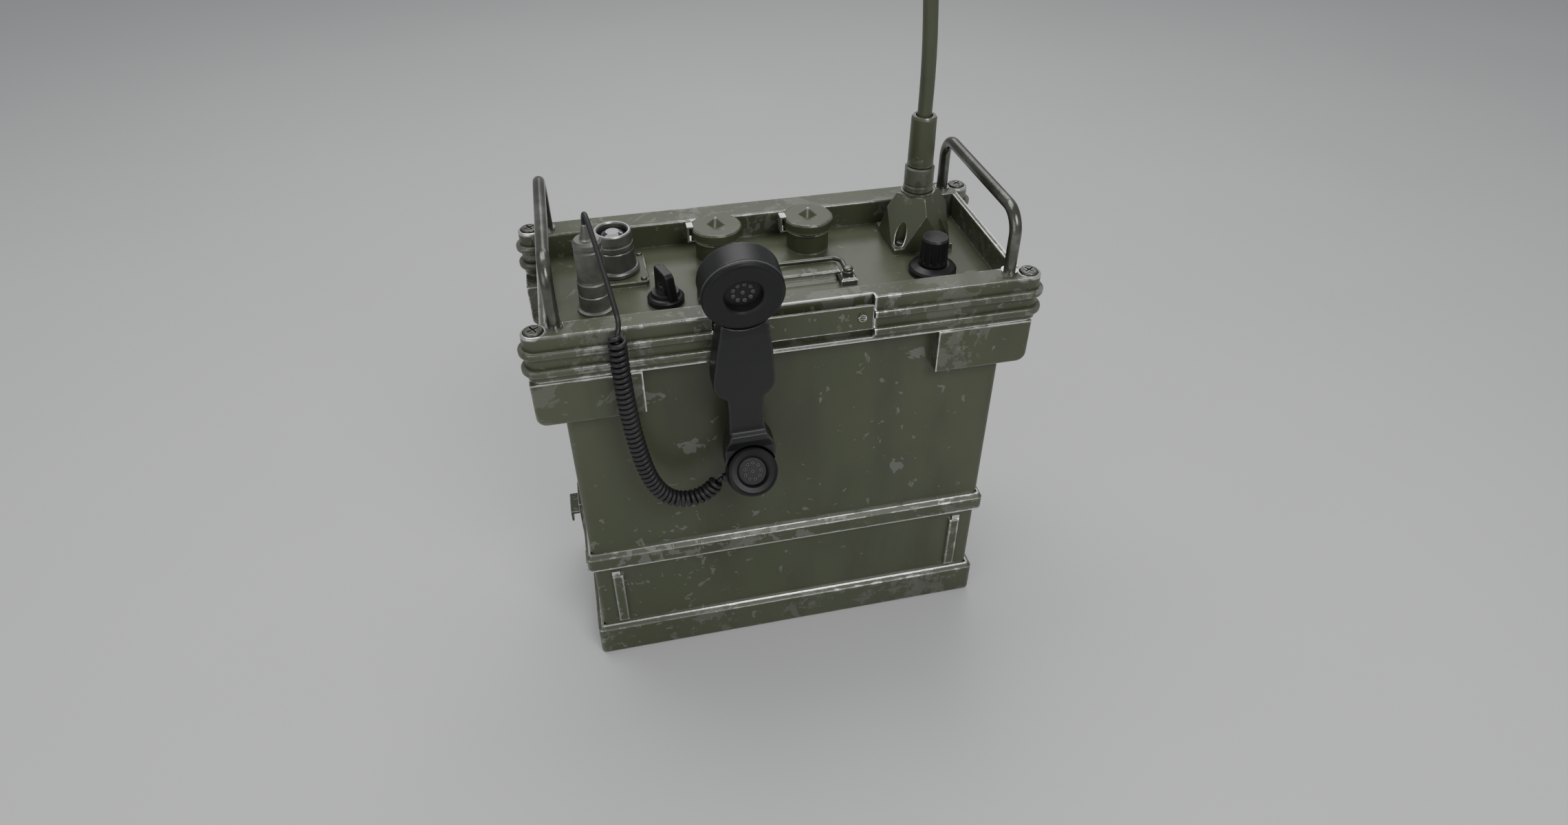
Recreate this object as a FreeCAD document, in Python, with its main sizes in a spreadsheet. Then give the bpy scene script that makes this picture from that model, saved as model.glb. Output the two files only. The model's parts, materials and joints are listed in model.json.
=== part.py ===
import FreeCAD, Part
import math
import os
import re

import Sketcher

# Backpack radio set with a handset, built as a parametric assembly.
# Millimetres. The origin is the middle of the base's underside: +X right, +Y to the back, +Z up.

SIZES = {
    # case
    "case_half_width": 126.5,
    "case_half_depth": 54.3,
    "case_corner": 3.0,
    "case_wall": 2.5,
    "case_bottom": 86.0,
    "case_top": 240.0,
    "fit_gap": 0.1,
    # base pan and middle rim
    "pan_half_width": 130.4,
    "pan_half_depth": 57.9,
    "pan_top": 25.5,
    "pan_floor": 3.0,
    "rim_half_width": 129.5,
    "rim_half_depth": 58.4,
    "rim_bottom": 81.0,
    "rim_top": 93.0,
    "bevel": 2.6,
    # battery box and what is in it
    "box_top": 84.0,
    "pack_half_width": 112.0,
    "pack_half_depth": 47.0,
    "pack_bottom": 5.6,
    "pack_top": 76.0,
    # flange at the top
    "flange_bottom": 232.0,
    "flange_top": 260.0,
    "ear_x": 134.2,
    "ear_y": 56.2,
    "ear_radius": 6.9,
    "rib_grow": 2.6,
    "rib_height": 5.0,
    "upper_rib": 247.0,
    "lower_rib": 236.0,
    "well_half_width": 127.9,
    "well_front": 49.3,
    "well_back": 45.6,
    "side_outer": 131.2,
    "notch_half_width": 44.0,
    "notch_face": 59.1,
    "notch_bottom": 234.6,
    # panel
    "panel_top": 245.0,
    "panel_thickness": 3.0,
    # handles
    "handle_x": 123.6,
    "handle_y": 54.0,
    "handle_radius": 3.4,
    "handle_bend": 13.0,
    "handle_axis_top": 294.5,
    "handle_foot": 248.0,
    # corner brackets
    "bracket_inner": 82.5,
    "bracket_outer": 137.6,
    "bracket_outer_left": 140.8,
    "bracket_face": 64.0,
    "bracket_back": 36.0,
    "bracket_bottom": 204.5,
    "bracket_top": 231.9,
    # retaining bars on the battery box
    "bar_x": 112.4,
    "bar_half_width": 3.4,
    "bar_bottom": 29.4,
    "bar_top": 72.0,
    "bar_proud": 2.7,
    # hanger plate in the flange's notch
    "plate_half_width": 43.4,
    "plate_face": 64.0,
    "plate_back": 62.6,
    "plate_bottom": 240.4,
    "plate_top": 255.4,
    "plate_screw_x": 36.8,
    # antenna
    "antenna_x": 94.6,
    "antenna_y": 20.5,
    "antenna_half": 18.4,
    "antenna_wall": 249.0,
    "antenna_ring": 277.0,
    "coupling_top": 293.0,
    "ferrule_top": 323.0,
    "whip_radius": 4.15,
    "whip_length": 300.0,
    "whip_lean": 4.6,
    # capped sockets
    "left_socket_x": -26.6,
    "right_socket_x": 28.9,
    "socket_y": 27.0,
    "neck_radius": 12.6,
    "cap_radius": 15.0,
    "cap_bottom": 258.6,
    "cap_top": 265.4,
    # lamp
    "lamp_x": -87.1,
    "lamp_y": 18.0,
    "lamp_plate_half": 17.2,
    "lamp_plate_top": 248.2,
    "lamp_joint": 263.0,
    "lamp_top": 273.8,
    # knobs
    "selector_x": -63.0,
    "selector_y": -17.0,
    "selector_angle": 24.5,
    "volume_x": 92.3,
    "volume_y": -20.0,
    # display housing and its wire guard
    "display_half_width": 38.5,
    "display_front": 15.0,
    "display_back": 3.8,
    "display_top": 249.6,
    "guard_x": 40.8,
    "guard_radius": 1.45,
    "guard_bend": 5.5,
    "guard_bar_y": -3.0,
    "guard_z": 251.3,
    "guard_post_y": -21.0,
    # audio plug
    "plug_x": -101.6,
    "plug_y": -17.0,
    "plug_radius": 7.7,
    "plug_joint": 256.0,
    "plug_shoulder": 288.0,
    "relief_top": 296.5,
    # cord
    "wire_diameter": 2.7,
    "coil_diameter": 10.0,
    # handset
    "handset_x": -29.2,
    "handset_lean": 1.3,
    "ear_cup_radius": 21.2,
    "mouth_cup_radius": 14.8,
    # side latches
    "latch_pivot_x": 131.4,
    "latch_pivot_z": 34.0,
    "latch_half_width": 11.0,
    "latch_plate_inner": 129.7,
    "latch_plate_outer": 131.3,
}

document = FreeCAD.newDocument("backpack_radio")
sheet = document.addObject("Spreadsheet::Sheet", "Sizes")
for row, (alias, number) in enumerate(SIZES.items(), start=1):
    sheet.set(f"A{row}", alias)
    sheet.set(f"B{row}", str(number))
    sheet.setAlias(f"B{row}", alias)
document.recompute()

Vector = FreeCAD.Vector
subparts = []


# ---------------------------------------------------------------- helpers

def bound(text):
    """An expression in the sheet's aliases, as FreeCAD reads it."""
    def named(found):
        word = found.group(0)
        return f"Sizes.{word}" if word in SIZES else word
    return re.sub(r"[a-z][a-z_]*", named, str(text))


def bind(item, **expressions):
    for field, text in expressions.items():
        item.setExpression(field.replace("__", "."), bound(text))
    return item


def at(item, x=0, y=0, z=0):
    return bind(item, Placement__Base__x=x, Placement__Base__y=y, Placement__Base__z=z)


def turned(item, axis, angle):
    item.Placement.Rotation = FreeCAD.Rotation(Vector(*axis), angle)
    return item


def box(name, x, y, z):
    """A block between pairs of expressions: x = (low, high) and so on."""
    item = document.addObject("Part::Box", name)
    bind(item, Length=f"({x[1]}) - ({x[0]})", Width=f"({y[1]}) - ({y[0]})",
         Height=f"({z[1]}) - ({z[0]})")
    return at(item, x[0], y[0], z[0])


AXIS_TURNS = {"X": ((0, 1, 0), 90), "Y": ((1, 0, 0), -90), "Z": ((0, 0, 1), 0)}


def cylinder(name, radius, length, x, y, z, axis="Z"):
    """A rod that starts at a point and runs along +X, +Y or +Z."""
    item = document.addObject("Part::Cylinder", name)
    bind(item, Radius=radius, Height=length)
    turned(item, *AXIS_TURNS[axis])
    return at(item, x, y, z)


def cone(name, low_radius, high_radius, length, x, y, z):
    item = document.addObject("Part::Cone", name)
    bind(item, Radius1=low_radius, Radius2=high_radius, Height=length)
    return at(item, x, y, z)


def fuse(name, *items):
    item = document.addObject("Part::MultiFuse", name)
    item.Shapes = list(items)
    item.Refine = True
    return item


def group(name, *items):
    item = document.addObject("Part::Compound", name)
    item.Links = list(items)
    return item


def cut(name, base, *tools):
    item = document.addObject("Part::Cut", name)
    item.Base = base
    item.Tool = tools[0] if len(tools) == 1 else fuse(f"{name}_tools", *tools)
    item.Refine = True
    return item


def common(name, *items):
    item = document.addObject("Part::MultiCommon", name)
    item.Shapes = list(items)
    return item


def eased(kind, name, base, radius, chosen):
    """A fillet or chamfer on the edges of a boolean that a rule chooses."""
    document.recompute()
    item = document.addObject(f"Part::{kind}", name)
    item.Base = base
    item.Edges = [(number, radius, radius)
                  for number, edge in enumerate(base.Shape.Edges, start=1) if chosen(edge)]
    return item


def flat_at(height):
    """A rule for edges that lie in one horizontal plane."""
    def rule(edge):
        bounds = edge.BoundBox
        return abs(bounds.ZMin - height) < 0.01 and abs(bounds.ZMax - height) < 0.01
    return rule


def upright(edge):
    bounds = edge.BoundBox
    return bounds.ZLength > 1 and bounds.XLength < 0.01 and bounds.YLength < 0.01


def finished(item, label):
    """Names a sub-part and keeps it for the export."""
    item.Label = label
    subparts.append(item)
    return item


def body_plane(body, role):
    return next(feature for feature in body.Origin.OriginFeatures if feature.Role == role)


def new_sketch(body, name, role, offset="0"):
    sketch = body.newObject("Sketcher::SketchObject", name)
    sketch.AttachmentSupport = [(body_plane(body, role), "")]
    sketch.MapMode = "FlatFace"
    bind(sketch, AttachmentOffset__Base__z=offset)
    return sketch


def pin_vertex(sketch, line, column, across, up):
    """Holds a line's first vertex at two distances from the sketch's origin."""
    for kind, text, name in (("DistanceX", across, "across"), ("DistanceY", up, "up")):
        constraint = sketch.addConstraint(Sketcher.Constraint(kind, -1, 1, line, 1, 1.0))
        sketch.renameConstraint(constraint, f"{name}_{column}")
        sketch.setExpression(f"Constraints.{name}_{column}", bound(text))


def polygon(sketch, points):
    """A closed outline whose corners are expressions."""
    count = len(points)
    for corner in range(count):
        turn = 2 * math.pi * corner / count
        following = 2 * math.pi * (corner + 1) / count
        sketch.addGeometry(Part.LineSegment(Vector(math.cos(turn), math.sin(turn), 0),
                                            Vector(math.cos(following), math.sin(following), 0)))
    for corner in range(count):
        sketch.addConstraint(Sketcher.Constraint("Coincident", corner, 2, (corner + 1) % count, 1))
    for corner, (across, up) in enumerate(points):
        pin_vertex(sketch, corner, corner, across, up)
    return sketch


def circle(sketch, radius, across="0", up="0"):
    sketch.addGeometry(Part.Circle(Vector(0, 0, 0), Vector(0, 0, 1), 1.0))
    number = sketch.GeometryCount - 1
    for kind, text, name in (("DistanceX", across, "across"), ("DistanceY", up, "up")):
        constraint = sketch.addConstraint(Sketcher.Constraint(kind, -1, 1, number, 3, 1.0))
        sketch.renameConstraint(constraint, f"{name}_{number}")
        sketch.setExpression(f"Constraints.{name}_{number}", bound(text))
    constraint = sketch.addConstraint(Sketcher.Constraint("Radius", number, 1.0))
    sketch.renameConstraint(constraint, f"radius_{number}")
    sketch.setExpression(f"Constraints.radius_{number}", bound(radius))
    return sketch


def rectangle(half_width, half_depth):
    return [(f"-({half_width})", f"-({half_depth})"), (half_width, f"-({half_depth})"),
            (half_width, half_depth), (f"-({half_width})", half_depth)]


def turned_body(name, outline):
    """A Body turned about its own upright axis from (radius, height) corners."""
    body = document.addObject("PartDesign::Body", name)
    sketch = polygon(new_sketch(body, f"{name}_outline", "XZ_Plane"), outline)
    revolution = body.newObject("PartDesign::Revolution", f"{name}_turned")
    revolution.Profile = sketch
    revolution.ReferenceAxis = (sketch, ["V_Axis"])
    revolution.Angle = 360.0
    return body


def padded_body(name, role, outline, length, offset="0", midplane=False):
    """A Body padded from a closed outline."""
    body = document.addObject("PartDesign::Body", name)
    sketch = polygon(new_sketch(body, f"{name}_outline", role, offset), outline)
    pad = body.newObject("PartDesign::Pad", f"{name}_pad")
    pad.Profile = sketch
    pad.Midplane = midplane
    bind(pad, Length=length)
    return body


def dressed(body, kind, radius, chosen):
    """Adds a PartDesign fillet or chamfer to a Body, on the edges that a rule chooses."""
    document.recompute()
    feature = body.Tip
    names = [f"Edge{number}" for number, edge in enumerate(feature.Shape.Edges, start=1)
             if chosen(edge)]
    item = body.newObject(f"PartDesign::{kind}", f"{body.Name}_{kind.lower()}")
    item.Base = (feature, names)
    bind(item, **{"Radius" if kind == "Fillet" else "Size": radius})
    return body


def pocketed(body, outline, depth, offset):
    """Cuts a pocket of a closed outline downwards from a height."""
    document.recompute()
    before = body.Shape.Volume
    number = len(body.Group)
    sketch = polygon(new_sketch(body, f"{body.Name}_pocket_outline_{number}", "XY_Plane", offset),
                     outline)
    pocket = body.newObject("PartDesign::Pocket", f"{body.Name}_pocket_{number}")
    pocket.Profile = sketch
    bind(pocket, Length=depth)
    document.recompute()
    if body.Shape.Volume >= before - 1:
        raise RuntimeError(f"{body.Name}: the pocket cut nothing")
    return body


def pyramid(name, low, high, height, spin):
    """A four-sided pyramid with a flat top, from the half widths of its two ends."""
    item = document.addObject("Part::Wedge", name)
    bind(item, Xmin=f"-{low}", Xmax=low, Zmin=f"-{low}", Zmax=low, Ymin="0", Ymax=height,
         X2min=f"-{high}", X2max=high, Z2min=f"-{high}", Z2max=high)
    item.Placement.Rotation = FreeCAD.Rotation(Vector(0, 0, 1), spin).multiply(
        FreeCAD.Rotation(Vector(1, 0, 0), 90))
    return item


def rounded_shell(name, half_width, half_depth, bottom, top, corner):
    """An upright block with rounded corners, as a Body."""
    body = padded_body(name, "XY_Plane", rectangle(half_width, half_depth),
                       f"({top}) - ({bottom})", bottom)
    return dressed(body, "Fillet", corner, upright)


def mirrored_pairs():
    for side, side_name in ((-1, "left"), (1, "right")):
        for end, end_name in ((-1, "front"), (1, "back")):
            yield side, end, f"{end_name}_{side_name}"


def spread(side, low, high):
    """The pair (low, high) of one side's block, from distances to the middle plane."""
    return (low, high) if side > 0 else (f"-({high})", f"-({low})")


# ---------------------------------------------------------------- case, base pan and battery box

def make_base_pan():
    pan = rounded_shell("base_pan", "pan_half_width", "pan_half_depth", "0", "pan_top", "3.2")
    dressed(pan, "Chamfer", "bevel", flat_at(SIZES["pan_top"]))
    dressed(pan, "Fillet", "2.4", flat_at(0))
    pocketed(pan, rectangle("case_half_width + fit_gap", "case_half_depth + fit_gap"),
             "pan_top - pan_floor", "pan_top")
    finished(pan, "base_pan")


def make_battery_box():
    shell = rounded_shell("battery_box", "case_half_width", "case_half_depth", "pan_floor",
                          "box_top", "case_corner")
    pocketed(shell, rectangle("case_half_width - case_wall", "case_half_depth - case_wall"),
             "box_top - pan_floor - case_wall", "box_top")
    finished(shell, "battery_box")


def make_battery_pack():
    block = box("battery_block", ("-pack_half_width", "pack_half_width"),
                ("-pack_half_depth", "pack_half_depth"), ("pack_bottom", "pack_top"))
    eased_block = eased("Fillet", "battery_block_eased", block, 3.0, upright)
    terminal = cylinder("battery_terminal", "9", "3", "60", "0", "pack_top")
    finished(fuse("battery_pack", eased_block, terminal), "battery_pack")


def make_middle_rim():
    rim = rounded_shell("middle_rim", "rim_half_width", "rim_half_depth", "rim_bottom",
                        "rim_top", "3.2")
    dressed(rim, "Chamfer", "bevel", flat_at(SIZES["rim_top"]))
    pocketed(rim, rectangle("case_half_width + fit_gap", "case_half_depth + fit_gap"),
             "rim_top - rim_bottom", "rim_top")
    finished(rim, "middle_rim")


def make_battery_gasket():
    gasket = rounded_shell("battery_gasket", "case_half_width - 0.3", "case_half_depth - 0.3",
                           "box_top", "case_bottom", "case_corner")
    pocketed(gasket, rectangle("case_half_width - 6", "case_half_depth - 6"),
             "case_bottom - box_top", "case_bottom")
    finished(gasket, "battery_gasket")


def make_main_case():
    shell = rounded_shell("main_case", "case_half_width", "case_half_depth", "case_bottom",
                          "case_top", "case_corner")
    pocketed(shell, rectangle("case_half_width - case_wall", "case_half_depth - case_wall"),
             "case_top - case_bottom - case_wall", "case_top")
    finished(shell, "main_case")


def make_chassis():
    floor_height = "case_bottom + case_wall + 2"
    shelf = box("chassis_shelf", ("-118", "118"), ("-46", "42"),
                (floor_height, f"{floor_height} + 2"))
    cheeks = [box(f"chassis_cheek_{name}", spread(side, "116", "118"), ("-46", "42"),
                  (f"{floor_height} + 2", "case_top - 2")) for side, name in ((-1, "left"), (1, "right"))]
    lips = [box(f"chassis_lip_{name}", spread(side, "116", "123"), ("-46", "42"),
                ("case_top - 2", "case_top")) for side, name in ((-1, "left"), (1, "right"))]
    finished(fuse("chassis", shelf, *cheeks, *lips), "chassis")
    boards = [box(f"board_{number}", ("-112", "112"), (f"{depth}", f"{depth + 1.6}"),
                  (f"{floor_height} + 3", "205")) for number, depth in enumerate((-30.0, 0.0, 26.0))]
    finished(group("circuit_boards", *boards), "circuit_boards")


# ---------------------------------------------------------------- flange, panel and brackets

def flange_tier(name, low, high, grow):
    """The front and back rails with their round ends, wider than the rail by grow."""
    pieces = []
    for end, end_name in ((-1, "front"), (1, "back")):
        rail = spread(end, f"ear_y - ear_radius - {grow}", f"ear_y + ear_radius + {grow}")
        pieces.append(box(f"{name}_{end_name}", ("-ear_x", "ear_x"), rail, (low, high)))
        for side, side_name in ((-1, "left"), (1, "right")):
            pieces.append(cylinder(f"{name}_{end_name}_{side_name}", f"ear_radius + {grow}",
                                   f"({high}) - ({low})", f"{side} * ear_x", f"{end} * ear_y", low))
    return fuse(name, *pieces)


def make_top_flange():
    back_wall = box("flange_back_wall", ("-side_outer", "side_outer"), ("well_back", "ear_y"),
                    ("flange_bottom", "flange_top"))
    core = eased("Fillet", "flange_core_eased",
                 fuse("flange_blank", flange_tier("flange_core", "flange_bottom", "flange_top", "0"),
                      back_wall), 1.3, flat_at(SIZES["flange_top"]))
    ribs = []
    for name in ("upper_rib", "lower_rib"):
        tier = flange_tier(f"{name}_tier", name, f"{name} + rib_height", "rib_grow")
        low = SIZES[name]
        high = low + SIZES["rib_height"]
        ribs.append(eased("Fillet", f"{name}_eased", tier, 1.8,
                          lambda edge, low=low, high=high: flat_at(low)(edge) or flat_at(high)(edge)))
    sides = [box(f"flange_side_{name}", spread(side, "case_half_width", "side_outer"),
                 ("-ear_y", "ear_y"), ("flange_bottom", "flange_top - 0.6"))
             for side, name in ((-1, "left"), (1, "right"))]
    solid = fuse("flange_solid", core, *ribs, *sides)
    well = box("flange_well", ("-well_half_width", "well_half_width"), ("-well_front", "well_back"),
               ("case_top", "flange_top + 1"))
    seat = box("flange_seat", ("-case_half_width - fit_gap", "case_half_width + fit_gap"),
               ("-case_half_depth - fit_gap", "case_half_depth + fit_gap"),
               ("flange_bottom - 1", "case_top"))
    notch = box("flange_notch", ("-notch_half_width", "notch_half_width"), ("-90", "-notch_face"),
                ("notch_bottom", "flange_top + 1"))
    holes = []
    for side, end, name in mirrored_pairs():
        holes.append(cylinder(f"ear_bore_{name}", "2.6", "40", f"{side} * ear_x", f"{end} * ear_y",
                              "flange_bottom - 1"))
        holes.append(cylinder(f"ear_counterbore_{name}", "5.5", "5", f"{side} * ear_x",
                              f"{end} * ear_y", "flange_top - 1.4"))
        holes.append(cylinder(f"handle_bore_{name}", "handle_radius + 0.05", "20",
                              f"{side} * handle_x", f"{end} * handle_y", "handle_foot"))
    for side in (-1, 1):
        holes.append(cylinder(f"plate_bore_{side + 1}", "1.6", "8", f"{side} * plate_screw_x",
                              "-notch_face - 1", "(plate_bottom + plate_top) / 2 + 1", "Y"))
    finished(cut("top_flange", solid, well, seat, notch, *holes), "top_flange")


def make_corner_screws():
    screws = []
    for side, end, name in mirrored_pairs():
        head = cylinder(f"corner_head_{name}", "5.1", "2.6", f"{side} * ear_x", f"{end} * ear_y",
                        "flange_top - 1.4")
        rounded = eased("Fillet", f"corner_head_{name}_eased", head, 1.0,
                        flat_at(SIZES["flange_top"] + 1.2))
        shank = cylinder(f"corner_shank_{name}", "2.5", "26", f"{side} * ear_x", f"{end} * ear_y",
                         "flange_bottom + 1")
        slots = [turned(box(f"corner_slot_{name}_{turn}", ("-3.4", "3.4"), ("-0.6", "0.6"),
                            ("0", "4")), (0, 0, 1), turn) for turn in (30, 120)]
        for slot, turn in zip(slots, (30, 120)):
            angle = math.radians(turn)
            shift_x = -3.4 * math.cos(angle) + 0.6 * math.sin(angle)
            shift_y = -3.4 * math.sin(angle) - 0.6 * math.cos(angle)
            at(slot, f"{side} * ear_x + {shift_x:.4f}", f"{end} * ear_y + {shift_y:.4f}",
               "flange_top + 0.2")
        screws.append(cut(f"corner_screw_{name}", fuse(f"corner_solid_{name}", rounded, shank), *slots))
    finished(group("corner_screws", *screws), "corner_screws")


def make_corner_brackets():
    brackets = []
    for side, end, name in mirrored_pairs():
        reach = "bracket_outer" if side > 0 else "bracket_outer_left"
        block = box(f"bracket_block_{name}", spread(side, "bracket_inner", reach),
                    spread(end, "bracket_back", "bracket_face"), ("bracket_bottom", "bracket_top"))
        hollow = box(f"bracket_hollow_{name}",
                     spread(side, "0", "case_half_width + fit_gap"),
                     spread(end, "0", "case_half_depth + fit_gap"),
                     ("bracket_bottom - 1", "bracket_top + 1"))
        plate = cut(f"bracket_cut_{name}", block, hollow)

        def round_low_corner(edge, outer=side * SIZES[reach]):
            bounds = edge.BoundBox
            return (abs(bounds.XMin - outer) < 0.01 and abs(bounds.XMax - outer) < 0.01
                    and abs(bounds.ZMax - SIZES["bracket_bottom"]) < 0.01)

        def face_edge(edge, end=end):
            bounds = edge.BoundBox
            face = end * SIZES["bracket_face"]
            return (abs(bounds.YMin - face) < 0.01 and abs(bounds.YMax - face) < 0.01
                    and bounds.ZMax < SIZES["bracket_top"] - 0.01)

        corner = eased("Fillet", f"bracket_corner_{name}", plate, 5.6, round_low_corner)
        brackets.append(eased("Fillet", f"bracket_{name}", corner, 1.1, face_edge))
    finished(group("corner_brackets", *brackets), "corner_brackets")


def make_handles():
    for side, name in ((-1, "left"), (1, "right")):
        pieces = []
        place = f"{side} * handle_x"
        for end in (-1, 1):
            tag = f"{name}_{end + 1}"
            leg_length = "handle_axis_top - handle_bend - handle_foot"
            pieces.append(cylinder(f"handle_leg_{tag}", "handle_radius", leg_length, place,
                                   f"{end} * handle_y", "handle_foot"))
            pieces.append(cylinder(f"handle_collar_{tag}", "4.6", "1.2", place,
                                   f"{end} * handle_y", "flange_top"))
            elbow = document.addObject("Part::Torus", f"handle_elbow_{tag}")
            bind(elbow, Radius1="handle_bend", Radius2="handle_radius", Angle3="90")
            lay = FreeCAD.Rotation(Vector(0, 1, 0), -90)
            spin = FreeCAD.Rotation(Vector(1, 0, 0), 0 if end > 0 else 90)
            elbow.Placement.Rotation = spin.multiply(lay)
            pieces.append(at(elbow, place, f"{end} * (handle_y - handle_bend)",
                             "handle_axis_top - handle_bend"))
        pieces.append(cylinder(f"handle_bar_{name}", "handle_radius",
                               "2 * (handle_y - handle_bend)", place,
                               "-handle_y + handle_bend", "handle_axis_top", "Y"))
        finished(fuse(f"handle_{name}", *pieces), f"handle_{name}")


def make_retaining_bars():
    bars = []
    for side, end, name in mirrored_pairs():
        face = "case_half_depth"
        strip = box(f"bar_strip_{name}", spread(side, "bar_x - bar_half_width", "bar_x + bar_half_width"),
                    spread(end, f"{face} + fit_gap", f"{face} + bar_proud"), ("bar_bottom", "bar_top"))

        def proud_edge(edge, end=end):
            bounds = edge.BoundBox
            proud = end * (SIZES["case_half_depth"] + SIZES["bar_proud"])
            return abs(bounds.YMin - proud) < 0.01 and abs(bounds.YMax - proud) < 0.01

        strip = eased("Fillet", f"bar_eased_{name}", strip, 0.8, proud_edge)
        hook = box(f"bar_hook_{name}", spread(side, "bar_x - 1.6", "bar_x + bar_half_width"),
                   spread(end, f"{face} + fit_gap", f"{face} + 1.6"), ("bar_top - 1", "bar_top + 3.4"))
        bars.append(fuse(f"retaining_bar_{name}", strip, hook))
    finished(group("retaining_bars", *bars), "retaining_bars")


def make_panel():
    panel = box("panel_sheet", ("-well_half_width + 0.2", "well_half_width - 0.2"),
                ("-well_front + 0.2", "well_back - 0.2"), ("panel_top - panel_thickness", "panel_top"))
    bores = (("antenna", "9", "antenna_x", "antenna_y"), ("left_socket", "10", "left_socket_x", "socket_y"),
             ("right_socket", "10", "right_socket_x", "socket_y"), ("lamp", "6", "lamp_x", "lamp_y"),
             ("selector", "3.05", "selector_x", "selector_y"), ("volume", "3.05", "volume_x", "volume_y"),
             ("plug", "6", "plug_x", "plug_y"))
    holes = [cylinder(f"panel_bore_{name}", radius, "10", x, y, "panel_top - 6")
             for name, radius, x, y in bores]
    finished(cut("top_panel", panel, *holes), "top_panel")
    ring = box("gasket_sheet", ("-well_half_width + 0.2", "well_half_width - 0.2"),
               ("-well_front + 0.2", "well_back - 0.2"), ("case_top", "panel_top - panel_thickness"))
    opening = box("gasket_opening", ("-118", "118"), ("-41", "37.4"), ("case_top - 1", "panel_top"))
    finished(cut("panel_gasket", ring, opening), "panel_gasket")


def make_hanger_plate():
    middle = "(plate_bottom + plate_top) / 2 + 1"
    sheet_metal = box("hanger_sheet", ("-plate_half_width", "plate_half_width"),
                      ("-plate_face", "-plate_back"), ("plate_bottom", "plate_top"))
    spacers = [box(f"hanger_spacer_{side + 1}", spread(side, "plate_screw_x - 2.2", "plate_half_width"),
                   ("-plate_back", "-notch_face"), ("plate_bottom + 1", "plate_top - 2"))
               for side in (-1, 1)]
    bores = [cylinder(f"hanger_bore_{side + 1}", "1.6", "8", f"{side} * plate_screw_x",
                      "-plate_face - 1", middle, "Y") for side in (-1, 1)]
    finished(cut("hanger_plate", fuse("hanger_solid", sheet_metal, *spacers), *bores), "hanger_plate")
    screws = []
    for side in (-1, 1):
        head = cylinder(f"hanger_head_{side + 1}", "2.2", "1.5", f"{side} * plate_screw_x",
                        "-plate_face - 1.5", middle, "Y")
        shank = cylinder(f"hanger_shank_{side + 1}", "1.5", "8.4", f"{side} * plate_screw_x",
                         "-plate_face - 0.5", middle, "Y")
        slot = box(f"hanger_slot_{side + 1}", (f"{side} * plate_screw_x - 3", f"{side} * plate_screw_x + 3"),
                   ("-plate_face - 2", "-plate_face - 0.8"), (f"{middle} - 0.35", f"{middle} + 0.35"))
        screws.append(cut(f"hanger_screw_{side + 1}", fuse(f"hanger_stud_{side + 1}", head, shank), slot))
    finished(group("hanger_screws", *screws), "hanger_screws")


# ---------------------------------------------------------------- antenna

def make_antenna_base():
    foot = box("antenna_foot", ("antenna_x - antenna_half", "antenna_x + antenna_half"),
               ("antenna_y - antenna_half", "antenna_y + antenna_half"), ("panel_top", "antenna_ring"))
    hood = pyramid("antenna_hood", "21.6", "9.3", "antenna_ring - antenna_wall", 45)
    at(hood, "antenna_x", "antenna_y", "antenna_wall")
    skirt = box("antenna_skirt", ("antenna_x - antenna_half", "antenna_x + antenna_half"),
                ("antenna_y - antenna_half", "antenna_y + antenna_half"),
                ("panel_top", "antenna_wall"))
    tower = fuse("antenna_tower", common("antenna_facets", foot, hood), skirt)

    def outer_edge(edge):
        bounds = edge.BoundBox
        return bounds.ZMin > SIZES["panel_top"] + 0.1 or upright(edge)

    tower = eased("Fillet", "antenna_tower_eased", tower, 0.7, outer_edge)
    ring = cylinder("antenna_ring_band", "9.9", "3.4", "antenna_x", "antenna_y", "antenna_ring - 2.4")
    stub = cylinder("antenna_stub", "8.0", "6", "antenna_x", "antenna_y", "panel_top - 6")
    wells = []
    heads = []
    for side, end, name in mirrored_pairs():
        x = f"antenna_x + {side} * 13.4"
        y = f"antenna_y + {end} * 13.4"
        wells.append(cylinder(f"antenna_well_{name}", "3.3", "24", x, y, "antenna_wall + 0.6"))
        head = cylinder(f"antenna_head_{name}", "2.7", "2.2", x, y, "antenna_wall + 0.6")
        heads.append(eased("Fillet", f"antenna_screw_{name}", head, 1.3,
                           flat_at(SIZES["antenna_wall"] + 2.8)))
    bore = cylinder("antenna_bore", "5.3", "8", "antenna_x", "antenna_y", "antenna_ring - 6")
    finished(cut("antenna_base", fuse("antenna_solid", tower, ring, stub), bore, *wells), "antenna_base")
    return heads


def make_antenna_coupling():
    ring = turned_body("antenna_coupling", [
        ("5.4", "antenna_ring + 1.3"), ("8.2", "antenna_ring + 1.3"), ("8.7", "antenna_ring + 1.9"),
        ("8.7", "antenna_ring + 4.4"), ("8.2", "antenna_ring + 4.9"), ("8.2", "antenna_ring + 5.7"),
        ("8.7", "antenna_ring + 6.2"), ("8.7", "coupling_top - 0.8"), ("7.9", "coupling_top"),
        ("5.4", "coupling_top")])
    at(ring, "antenna_x", "antenna_y", "0")
    finished(ring, "antenna_coupling")


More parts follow.
